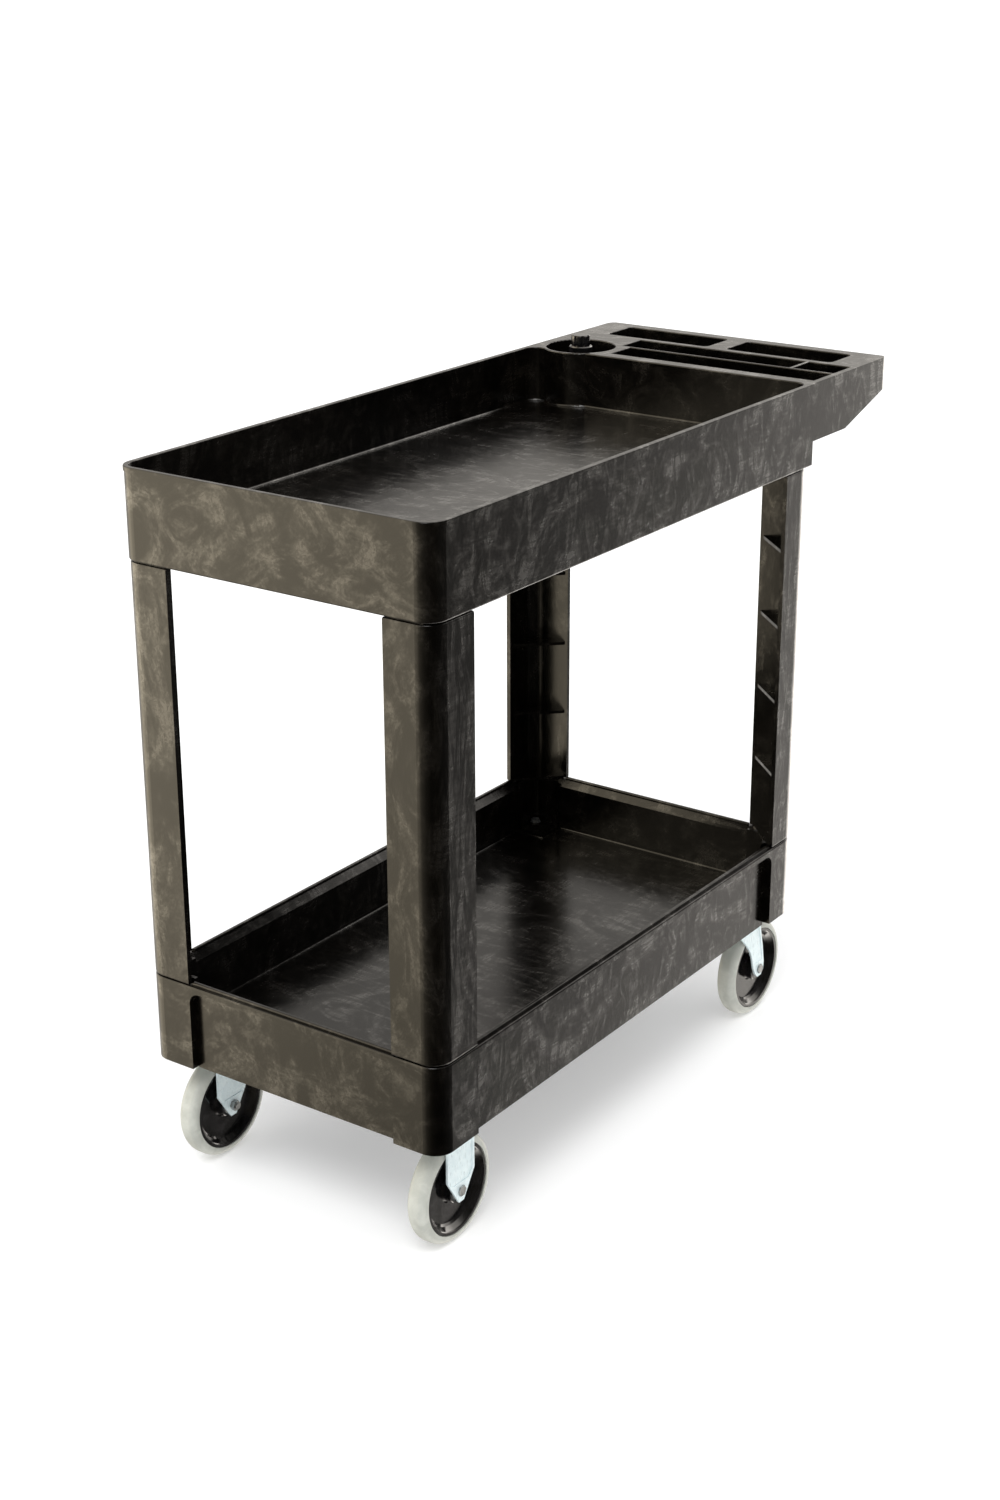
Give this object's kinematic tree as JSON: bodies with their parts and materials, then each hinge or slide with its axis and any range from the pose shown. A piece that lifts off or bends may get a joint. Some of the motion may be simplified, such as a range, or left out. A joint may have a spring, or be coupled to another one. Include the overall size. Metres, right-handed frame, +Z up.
{
  "type": "service trolley",
  "caption": "Moulded plastic service trolley: deep tray on top with push handle and tool ledge, deep tray below, corner legs, fixed casters in front and swivel casters behind.",
  "frame": {"origin": "on the floor, under the middle of the whole trolley's bounding box", "axes": "+X towards the push handle, +Y across the tray, +Z up"},
  "size_m": [0.9748, 0.4188, 0.86],
  "materials": {
    "moulded_plastic": "structural foam plastic, mottled dark brown-grey with waxy sheen",
    "black_plastic": "smooth black moulding",
    "bearing_plastic": "self-lubricating bush",
    "grey_tyre": "non-marking grey rubber",
    "zinc_steel": "bright zinc plate, faintly blue",
    "bright_steel": "polished bearing balls"
  },
  "bodies": {
    "trolley": {"upper_tray": "moulded_plastic", "lower_tray": "moulded_plastic", "leg_front_left": "moulded_plastic", "leg_front_right": "moulded_plastic", "leg_rear_left": "moulded_plastic", "leg_rear_right": "moulded_plastic", "leg_top_screws": "zinc_steel", "leg_foot_screws": "zinc_steel", "holder_post": "black_plastic", "holder_post_screw": "zinc_steel", "front_left_plate_screws": "zinc_steel", "front_left_fork": "zinc_steel", "front_left_axle_sleeve": "zinc_steel", "front_left_axle_bolt": "zinc_steel", "front_left_axle_nut": "zinc_steel", "front_right_plate_screws": "zinc_steel", "front_right_fork": "zinc_steel", "front_right_axle_sleeve": "zinc_steel", "front_right_axle_bolt": "zinc_steel", "front_right_axle_nut": "zinc_steel", "rear_left_plate_screws": "zinc_steel", "rear_left_top_plate": "zinc_steel", "rear_left_kingpin": "zinc_steel", "rear_right_plate_screws": "zinc_steel", "rear_right_top_plate": "zinc_steel", "rear_right_kingpin": "zinc_steel"},
    "front_left_wheel": {"front_left_tyre": "grey_tyre", "front_left_wheel_core": "black_plastic", "front_left_wheel_bushes": "bearing_plastic"},
    "front_right_wheel": {"front_right_tyre": "grey_tyre", "front_right_wheel_core": "black_plastic", "front_right_wheel_bushes": "bearing_plastic"},
    "rear_left_wheel": {"rear_left_tyre": "grey_tyre", "rear_left_wheel_core": "black_plastic", "rear_left_wheel_bushes": "bearing_plastic"},
    "rear_left_swivel": {"rear_left_swivel_fork": "zinc_steel", "rear_left_lower_race": "zinc_steel", "rear_left_dust_ring": "zinc_steel", "rear_left_swivel_balls": "bright_steel", "rear_left_axle_sleeve": "zinc_steel", "rear_left_axle_bolt": "zinc_steel", "rear_left_axle_nut": "zinc_steel"},
    "rear_right_wheel": {"rear_right_tyre": "grey_tyre", "rear_right_wheel_core": "black_plastic", "rear_right_wheel_bushes": "bearing_plastic"},
    "rear_right_swivel": {"rear_right_swivel_fork": "zinc_steel", "rear_right_lower_race": "zinc_steel", "rear_right_dust_ring": "zinc_steel", "rear_right_swivel_balls": "bright_steel", "rear_right_axle_sleeve": "zinc_steel", "rear_right_axle_bolt": "zinc_steel", "rear_right_axle_nut": "zinc_steel"}
  },
  "joints": [
    {"name": "front_left_wheel_spin", "type": "hinge", "parent": "trolley", "child": "front_left_wheel", "pos_m": [-0.4155, 0.1665, 0.065], "axis": [0, 1, 0], "continuous": true},
    {"name": "front_right_wheel_spin", "type": "hinge", "parent": "trolley", "child": "front_right_wheel", "pos_m": [-0.4155, -0.1665, 0.065], "axis": [0, 1, 0], "continuous": true},
    {"name": "rear_left_swivel", "type": "hinge", "parent": "trolley", "child": "rear_left_swivel", "pos_m": [0.2195, 0.1665, 0.14], "axis": [0, 0, 1], "continuous": true},
    {"name": "rear_left_wheel_spin", "type": "hinge", "parent": "rear_left_swivel", "child": "rear_left_wheel", "pos_m": [0.2555, 0.1665, 0.065], "axis": [0, 1, 0], "continuous": true},
    {"name": "rear_right_swivel", "type": "hinge", "parent": "trolley", "child": "rear_right_swivel", "pos_m": [0.2195, -0.1665, 0.14], "axis": [0, 0, 1], "continuous": true},
    {"name": "rear_right_wheel_spin", "type": "hinge", "parent": "rear_right_swivel", "child": "rear_right_wheel", "pos_m": [0.2555, -0.1665, 0.065], "axis": [0, 1, 0], "continuous": true}
  ]
}
